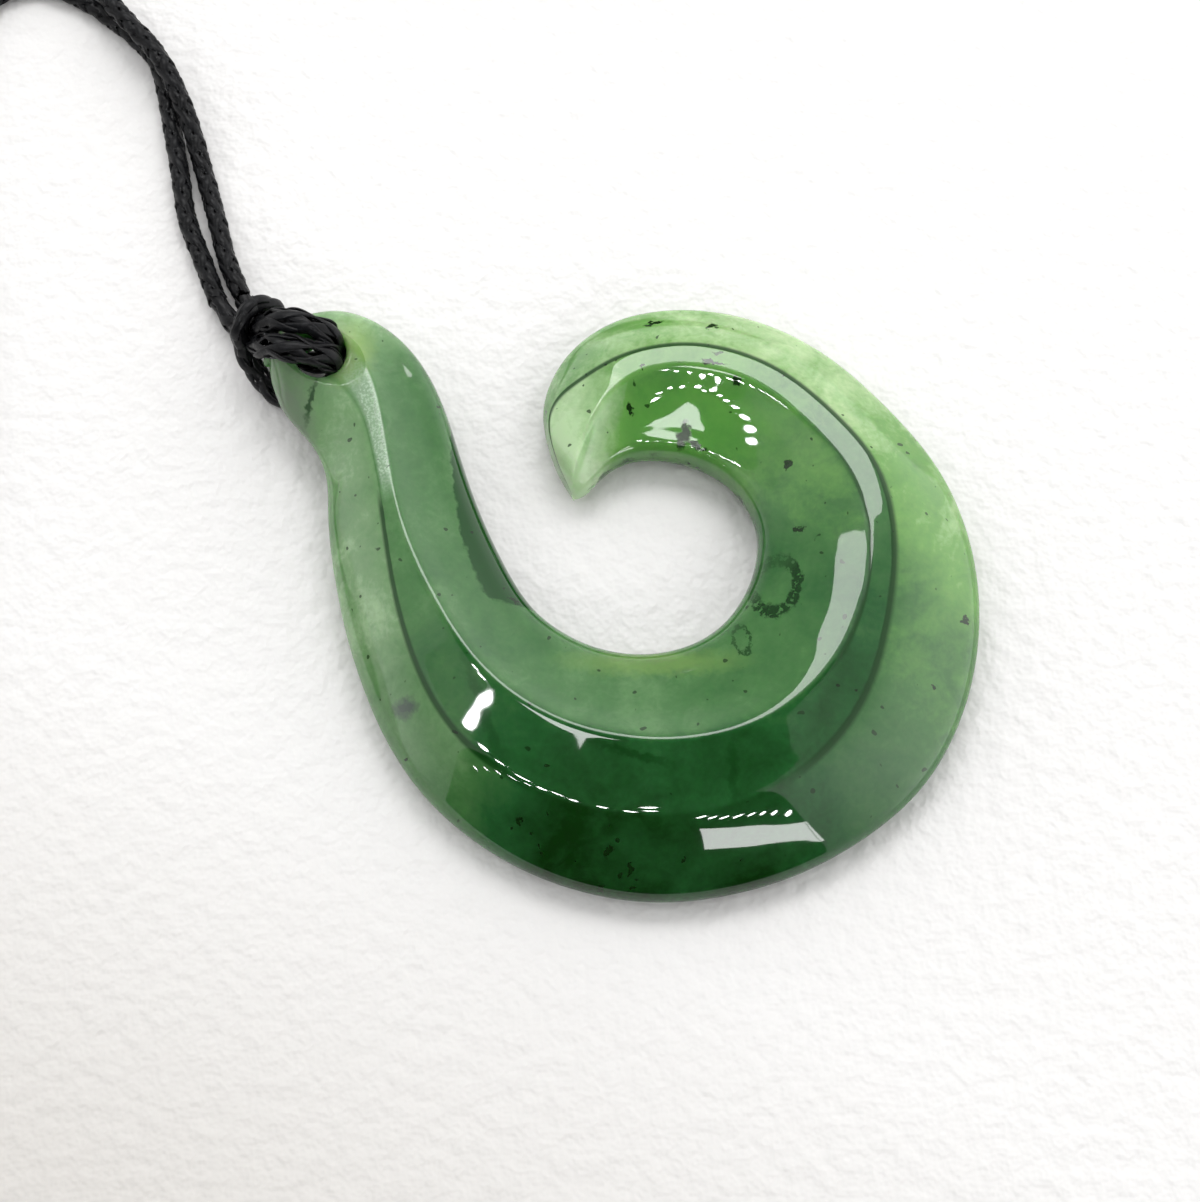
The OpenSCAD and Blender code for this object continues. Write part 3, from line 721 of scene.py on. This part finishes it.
# Noises in the stone: how many to a millimetre, detail and distortion
noises = {
    "cloud": (0.13, 3, 0.8), "wisp": (0.6, 3, 1.5), "fleck": (2.6, 2, 0), "edge": (1.7, 2, 0),
    "wobble": (0.9, 3, 0), "frost": (5.5, 2, 0), "crumb": (2.6, 3, 0), "dot": (1.6, 0, 0),
}
drifts = {"cloud": 0.10, "wisp": 0.03, "fleck": 0.018}  # how far each of these moves the lightness
stray = 1.1  # how far fine noise shifts the marks' edges, mm


# Two rows that give a flat place, x, y and 1, as its place in an oval, in shares of the oval's whole sizes
def ovalRows(middle, half, turn):
    c, s = math.cos(math.radians(turn)), math.sin(math.radians(turn))
    rows = np.array([[c, s], [-s, c]]) / (2 * np.array(half))[:, None]
    return np.column_stack([rows, -rows @ np.array(middle)])


# Squared distance from the middle of an oval, in shares of its whole sizes
def squareAway(tree, place, rows):
    u, v = [addNode(tree, vectors, {0: place, 1: tuple(row)}, operation="DOT_PRODUCT") for row in rows]
    square = addNode(tree, maths, {0: v, 1: v}, operation="MULTIPLY")
    return addNode(tree, maths, {0: u, 1: u, 2: square}, operation="MULTIPLY_ADD")


def polishedNephrite():
    material, tree = newMaterial("polished nephrite")
    place = addNode(tree, "ShaderNodeTexCoord").outputs["Object"]
    spot = addNode(tree, vectors, {0: place, "Scale": 1 / mm}, operation="SCALE")
    flat = addNode(tree, vectors, {0: place, 1: (1 / mm, 1 / mm, 0), 2: (0, 0, 1)}, operation="MULTIPLY_ADD")
    along = addNode(tree, "ShaderNodeAttribute", attribute_name="along").outputs["Fac"]
    zone = addNode(tree, "ShaderNodeAttribute", attribute_name="zone").outputs["Fac"]
    zone = addNode(tree, maths, {0: zone, 1: 3.0}, operation="DIVIDE")
    noise = {name: addNode(tree, "ShaderNodeTexNoise", {
        "Vector": spot, "Scale": scale, "Detail": detail, "Roughness": 0.58, "Distortion": distortion})
        for name, (scale, detail, distortion) in noises.items()}
    drift = {name: addNode(tree, "ShaderNodeMapRange", {
        "Value": noise[name], "From Min": 0.3, "From Max": 0.7, "To Min": -reach, "To Max": reach})
        for name, reach in (*drifts.items(), ("wobble", mirroredWedge["wobble"]))}

    # tone: three stretches across the stone, each with its own lightness along it, which paints light and shade
    # over the stone's own tone, then clouds and wisps
    zones = {name: addNode(tree, ramps, {0: along}, rows, "EASE") for name, rows in toneAndPaintedShade.items()}
    toPlateau = addNode(tree, ramps, {0: zone}, [(0.30, 0), (0.36, 1)], "EASE")
    toBevel = addNode(tree, ramps, {0: zone}, [(0.655, 0), (0.68, 1)], "EASE")
    tone = addNode(tree, "ShaderNodeMix", {0: toPlateau, 6: zones["inner"], 7: zones["plateau"]},
                   data_type="RGBA")
    tone = addNode(tree, "ShaderNodeMix", {0: toBevel, 6: tone, 7: zones["bevel"]}, data_type="RGBA")
    for name in drifts:
        tone = addNode(tree, maths, {0: tone, 1: drift[name]}, operation="ADD")
    greens = [(0.03, colour(stone["deep"])), (0.26, colour(stone["dark"])), (0.48, colour(stone["mid"]))]
    cool = addNode(tree, ramps, {0: tone}, greens + [
        (0.72, colour(stone["pale"])), (0.95, colour(stone["milky"]))])
    warm = addNode(tree, ramps, {0: tone}, greens + [
        (0.72, colour(stone["warmPale"])), (0.95, colour(stone["warmMilky"]))])
    warmth = addNode(tree, ramps, {0: along}, [(0.52, 0), (0.62, 1), (0.80, 1), (0.88, 0.2)], "EASE")
    body = addNode(tree, "ShaderNodeMix", {0: warmth, 6: cool, 7: warm}, data_type="RGBA")

    # ragged edges: places shifted a little by fine noise
    shift = addNode(tree, vectors, {0: noise["edge"].outputs["Color"], 1: (0.5, 0.5, 0.5)}, operation="SUBTRACT")
    ragged = addNode(tree, vectors, {0: shift, 1: (stray, stray, 0), 2: flat}, operation="MULTIPLY_ADD")

    # stains and painted reflections are laid over the body in this order, each with its mask, its colour and
    # whether it is a dark mark
    stainsAndReflections = []
    for x, y, a, b, turn, name, strength in veins:
        away = addNode(tree, maths, {0: squareAway(tree, ragged, ovalRows((x, y), (a, b), turn))},
                       operation="SQRT")
        mask = addNode(tree, ramps, {0: away}, [(0.20, strength), (0.55, 0)])
        stainsAndReflections.append((mask, name, False))
    # painted dark lines along the ridge and the crest: reflection edges, not marks in the stone
    for form in paintedReflectionEdges.values():
        across = addNode(tree, ramps, {0: zone}, form["across"])
        lengthwise = addNode(tree, ramps, {0: along}, form["along"])
        stainsAndReflections.append((addNode(tree, maths, {0: across, 1: lengthwise}, operation="MULTIPLY"), "ragged", True))
    # painted dark reflection: the steep inner edge of the shank mirrors the far side of the hook
    wide = addNode(tree, ramps, {0: along}, mirroredWedge["wide"])
    inside = addNode(tree, maths, {0: wide, 1: zone}, operation="SUBTRACT")
    inside = addNode(tree, maths, {0: inside, 1: drift["wobble"]}, operation="ADD")
    mask = addNode(tree, ramps, {0: inside}, [(0.0, 0), (mirroredWedge["edge"], mirroredWedge["strength"])])
    stainsAndReflections.append((mask, "glassy", True))
    across = addNode(tree, ramps, {0: zone}, frosted["across"])
    lengthwise = addNode(tree, ramps, {0: along}, frosted["along"])
    frost = addNode(tree, maths, {0: across, 1: lengthwise}, operation="MULTIPLY")
    grain = addNode(tree, ramps, {0: noise["frost"]}, frosted["grain"])
    frost = addNode(tree, maths, {0: frost, 1: grain}, operation="MULTIPLY")
    mask = addNode(tree, maths, {0: frost, 1: frosted["strength"]}, operation="MULTIPLY")
    stainsAndReflections.append((mask, "grain", False))

    # rings: dark and ragged where a coarse noise leaves them, heaviest on one side
    crumbs = addNode(tree, ramps, {0: noise["crumb"]}, [(0.39, 0.05), (0.45, 1)])
    for ring in rings:
        rows = ovalRows(ring["middle"], ring["half"], ring["turn"])
        away = addNode(tree, maths, {0: squareAway(tree, ragged, rows)}, operation="SQRT")
        rim = addNode(tree, ramps, {0: away}, [(0.30, 0), (0.36, ring["dark"]), (0.50, ring["dark"]), (0.54, 0)])
        towardsHeavy = np.array(ring["heavy"]) @ rows + [0, 0, 0.5]
        lean = addNode(tree, vectors, {0: ragged, 1: tuple(towardsHeavy)}, operation="DOT_PRODUCT")
        lean = addNode(tree, ramps, {0: lean}, [(0.20, 0.45), (0.55, 1)])
        mask = addNode(tree, maths, {0: rim, 1: lean}, operation="MULTIPLY")
        mask = addNode(tree, maths, {0: mask, 1: crumbs}, operation="MULTIPLY")
        stainsAndReflections.append((mask, "ragged", True))

    # specks: the nearest one counts, with stray dots at the noise's peaks
    nearest = 1.0
    for x, y, a, b, turn in specks:
        square = squareAway(tree, ragged, ovalRows((x, y), (a, b), turn))
        nearest = addNode(tree, maths, {0: nearest, 1: square}, operation="MINIMUM")
    away = addNode(tree, maths, {0: nearest}, operation="SQRT")
    speck = addNode(tree, ramps, {0: away}, [(0.38, 0.96), (0.56, 0)])
    dots = addNode(tree, ramps, {0: noise["dot"]}, [(0.81, 0), (0.835, 0.8)])
    stainsAndReflections.append((addNode(tree, maths, {0: speck, 1: dots}, operation="MAXIMUM"), "black", True))

    marks = 0.0
    for mask, name, dark in stainsAndReflections:
        body = addNode(tree, "ShaderNodeMix", {0: mask, 6: body, 7: colour(stone[name])}, data_type="RGBA")
        if dark:
            marks = addNode(tree, maths, {0: marks, 1: mask}, operation="MAXIMUM")

    # polish: a wet gloss, but for the frosted strip and the specks in the bowl
    square = squareAway(tree, flat, ovalRows(pit["middle"], pit["half"], 0))
    away = addNode(tree, maths, {0: square}, operation="SQRT")
    inPit = addNode(tree, ramps, {0: away}, [(0.45, 1), (0.50, 0)])
    unpolished = addNode(tree, maths, {0: speck, 1: inPit}, operation="MULTIPLY")
    dull = addNode(tree, maths, {0: frost, 1: unpolished}, operation="MAXIMUM")
    rough = addNode(tree, "ShaderNodeMapRange", {
        "Value": dull, "To Min": stone["rough"], "To Max": frosted["rough"]})
    lit = addNode(tree, maths, {0: marks, 1: -stone["clear"], 2: 1.0}, operation="MULTIPLY_ADD")
    skin = addNode(tree, "ShaderNodeBsdfPrincipled", {
        "Base Color": body, "Roughness": rough, "Subsurface Weight": lit, "IOR": 1.61,
        "Subsurface Scale": stone["reach"] * mm, "Subsurface Radius": (0.45, 1.0, 0.40)},
        subsurface_method="BURLEY")
    addNode(tree, "ShaderNodeOutputMaterial", {"Surface": skin})
    return material


nephrite = polishedNephrite()
hook = drilled(hookPiece(nephrite))
markPlaces(hook)
print("hook carved", len(hook.data.polygons), "faces")


# Floor: a pale board with a faint leathery grain, painted a little darker towards the front left as shade, where
# less light falls
board = {
    "half": 1.5,  # metres
    "grain": 700,  # a noise: how many to a metre
    "bump": 0.7, "grainHigh": 0.4,  # mm
    "pale": "#E0DFDE", "dark": "#CBC8C4",
    "darkWay": (-0.45, -0.90, 0), "darkFrom": 22, "darkFull": 55,  # mm
}


def floorMaterial():
    material, tree = newMaterial("pale board")
    place = addNode(tree, "ShaderNodeTexCoord").outputs["Object"]
    grain = addNode(tree, "ShaderNodeTexNoise", {
        "Vector": place, "Scale": board["grain"], "Detail": 2, "Roughness": 0.55})
    bump = addNode(tree, "ShaderNodeBump", {
        "Height": grain, "Strength": board["bump"], "Distance": board["grainHigh"] * mm})
    # painted shade: the board darkens towards the front left
    front = addNode(tree, vectors, {0: place, 1: board["darkWay"]}, operation="DOT_PRODUCT")
    dark = addNode(tree, "ShaderNodeMapRange", {
        "Value": front, "From Min": board["darkFrom"] * mm, "From Max": board["darkFull"] * mm})
    shade = addNode(tree, "ShaderNodeMix", {0: dark, 6: colour(board["pale"]), 7: colour(board["dark"])},
                    data_type="RGBA")
    skin = addNode(tree, "ShaderNodeBsdfPrincipled", {
        "Base Color": shade, "Normal": bump, "Roughness": 0.8, "IOR": 1.4})
    addNode(tree, "ShaderNodeOutputMaterial", {"Surface": skin})
    return material


def makeFloor():
    s = board["half"]
    corners = [(-s, -s, 0), (s, -s, 0), (s, s, 0), (-s, s, 0)]
    floor = meshPiece("floor", corners, [(0, 1, 2, 3)], floorMaterial())


makeFloor()

# Light: a pale tent with a long bright window at the back, a small one low in front, one nearly overhead, dark
# cloth over the camera and in front, and small lamps. Angles are degrees from +X round the pendant, and up.
tent = {"glow": 1.6, "reach": 0.62}
windows = {  # each one's outline as places round, with the heights of its lower and upper edge there
    "back": {"around": (58, 112, 122, 129, 133, 135), "from": (45, 45, 45.5, 47, 49, 51),
             "to": (63, 63, 60, 57, 54.5, 52), "glow": 6.0},
    "front": {"around": (-76, -50), "from": (30, 22), "to": (42, 28), "glow": 9},
    "top": {"around": (155, 185, 229), "from": (79.5, 79.5, 79), "to": (86, 88.5, 86), "glow": 9},
}
hood = {"front": (-152, -46), "frontLow": 5, "low": 70, "greyLow": 64, "blend": 6, "reach": 0.66,
        "places": 91, "greyPlaces": 61}
# The tent's walls as the polish mirrors them: how bright they are at each height, one row for each place round
wall = {
    "heights": (0, 15, 35, 50, 62, 75),
    "rows": [
        (-180, 1.3, 1.1, 0.7, 0.8, 0.8, 0.6), (-165, 1.4, 0.6, 0.4, 0.6, 0.7, 0.5),
        (-150, 0.9, 0.4, 0.4, 0.5, 0.6, 0.4), (-46, 0.8, 0.6, 0.8, 0.8, 0.8, 0.6),
        (-25, 2.2, 2.0, 1.3, 0.9, 0.5, 0.5), (10, 2.2, 1.9, 1.2, 0.6, 0.4, 0.5),
        (40, 2.0, 1.5, 1.2, 0.5, 0.4, 0.5), (60, 1.7, 1.2, 1.1, 0.8, 0.6, 0.5),
        (100, 1.5, 0.8, 0.35, 0.4, 0.6, 0.6), (140, 1.5, 0.8, 0.25, 0.35, 0.6, 0.6),
        (180, 1.3, 1.1, 0.7, 0.8, 0.8, 0.6),
    ],
    "reach": 0.70, "places": 73, "levels": 16,
}
# Three strings of small lamps, each lamp by its place round the pendant and its height. Those of the second are
# taller than wide, because the stone's ridge mirrors them flattened. The bowl of the point mirrors the third.
lamps = {
    "strings": [
        {"wide": 0.006, "tall": 0.007, "at": [
            (-141, 31), (-139, 41), (-136.5, 50), (-134.5, 58), (-132, 63.5), (-129, 67.5), (-125, 70.5)]},
        {"wide": 0.006, "tall": 0.012, "at": [
            (-73, 55), (-70, 52), (-67, 49), (-64, 46), (-61, 43), (-58, 40), (-55, 37), (-52, 34)]},
        {"wide": 0.008, "tall": 0.011, "at": [
            (-88, 77), (-88, 73), (-96, 70), (-107, 70), (-118, 69), (-129, 68.5), (-139, 70), (-150, 71),
            (-161, 71), (-172, 71), (-181, 71), (-189, 71)]},
    ],
    "glow": 60, "reach": 0.60, "sides": 12,
}


def towards(around, up, away):
    a, u = math.radians(around), math.radians(up)
    return Vector((math.cos(a) * math.cos(u), math.sin(a) * math.cos(u), math.sin(u))) * away


# A curved panel round the pendant, between two heights that may change from one end to the other
def panel(name, arounds, lows, highs, away, material, parts=6):
    points, faces = [], []
    for around, lowEnd, highEnd in zip(arounds, lows, highs):
        points += [towards(around, lowEnd + (highEnd - lowEnd) * i / parts, away) for i in range(parts + 1)]
    for i in range(len(arounds) - 1):
        for k in range(parts):
            a = i * (parts + 1) + k
            faces.append((a, a + 1, a + parts + 2, a + parts + 1))
    piece = meshPiece(name, points, faces, material)
    piece.visible_camera = False


def glowing(name, strength):
    material, tree = newMaterial(name)
    light = addNode(tree, "ShaderNodeEmission", {"Strength": strength})
    addNode(tree, "ShaderNodeOutputMaterial", {"Surface": light})
    return material


def cloth(name, shade):
    material, tree = newMaterial(name)
    skin = addNode(tree, "ShaderNodeBsdfPrincipled", {"Base Color": colour(shade), "Roughness": 0.95})
    addNode(tree, "ShaderNodeOutputMaterial", {"Surface": skin})
    return material


def makeLights():
    for name, window in windows.items():
        arounds = np.linspace(window["around"][0], window["around"][-1], 25)
        lows = np.interp(arounds, window["around"], window["from"])
        highs = np.interp(arounds, window["around"], window["to"])
        material = glowing(name + " window", window["glow"])
        panel(name + "_window", arounds, lows, highs, tent["reach"], material)
    world = bpy.data.worlds.new("tent")
    world.use_nodes = True
    world.node_tree.nodes["Background"].inputs[0].default_value = (1, 1, 1, 1)
    world.node_tree.nodes["Background"].inputs[1].default_value = tent["glow"]
    bpy.context.scene.world = world
    bpy.context.scene.view_settings.view_transform = "Standard"


def makeCloth():
    arounds = np.linspace(-180, 180, hood["places"])
    start, stop = hood["front"]
    inside = np.clip(np.minimum(arounds - start, stop - arounds) / hood["blend"], 0, 1)
    lows = hood["low"] + (hood["frontLow"] - hood["low"]) * inside
    panel("dark_cloth", arounds, lows, np.full_like(arounds, 90), hood["reach"],
          cloth("black cloth", "#161616"), parts=10)
    rest = np.linspace(stop, start + 360, hood["greyPlaces"])
    panel("grey_cloth", rest, np.full_like(rest, hood["greyLow"]), np.full_like(rest, hood["low"]),
          hood["reach"], cloth("grey cloth", "#B4B4B4"), parts=3)


def mirroredOnly(piece):  # seen in the polish, without lighting what stands round it
    piece.visible_camera = False
    piece.visible_diffuse = False
    piece.visible_shadow = False
    piece.data.materials[0].cycles.emission_sampling = "NONE"


def makeWall():
    material, tree = newMaterial("tent wall")
    glow = addNode(tree, "ShaderNodeAttribute", attribute_name="glow")
    light = addNode(tree, "ShaderNodeEmission", {"Strength": glow.outputs["Fac"]})
    addNode(tree, "ShaderNodeOutputMaterial", {"Surface": light})
    rows = np.array(wall["rows"])
    arounds = np.linspace(-180, 180, wall["places"])
    ups = np.linspace(wall["heights"][0], wall["heights"][-1], wall["levels"])
    byRow = np.stack([np.interp(ups, wall["heights"], row[1:]) for row in rows])
    glows = np.stack([np.interp(arounds, rows[:, 0], column) for column in byRow.T], 1)
    points = [towards(around, up, wall["reach"]) for around in arounds for up in ups]
    faces = []
    for i in range(len(arounds) - 1):
        for k in range(len(ups) - 1):
            a = i * len(ups) + k
            faces.append((a, a + 1, a + len(ups) + 1, a + len(ups)))
    piece = meshPiece("tent_wall", points, faces, material)
    attribute = piece.data.attributes.new("glow", "FLOAT", "POINT")
    attribute.data.foreach_set("value", glows.astype(np.float32).ravel())
    mirroredOnly(piece)


def makeLamps():
    points, faces = [], []
    sides = lamps["sides"]
    for string in lamps["strings"]:
        places = np.array([towards(around, up, lamps["reach"]) for around, up in string["at"]])
        for place, ahead in zip(places, unit(np.gradient(places, axis=0))):
            across = unit(np.cross(-place, ahead))
            first = len(points)
            for k in range(sides):
                turn = 2 * math.pi * k / sides
                reach = string["wide"] * math.cos(turn) * ahead + string["tall"] * math.sin(turn) * across
                points.append(place + reach)
            faces.append(tuple(range(first, first + sides)))
    mirroredOnly(meshPiece("lamp_string", points, faces, glowing("small lamp", lamps["glow"])))


makeLights()
makeCloth()
makeWall()
makeLamps()
print("lights and floor set")

for piece, nodes in ((neckCord, ("neck_cord_left", "neck_cord_right")), (hitch, ("hitch",)),
                     (knot, ("closing_knot",)), (hook, ("hook",))):
    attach(piece, "root")
    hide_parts(*nodes)
print("pieces ride on the frame")
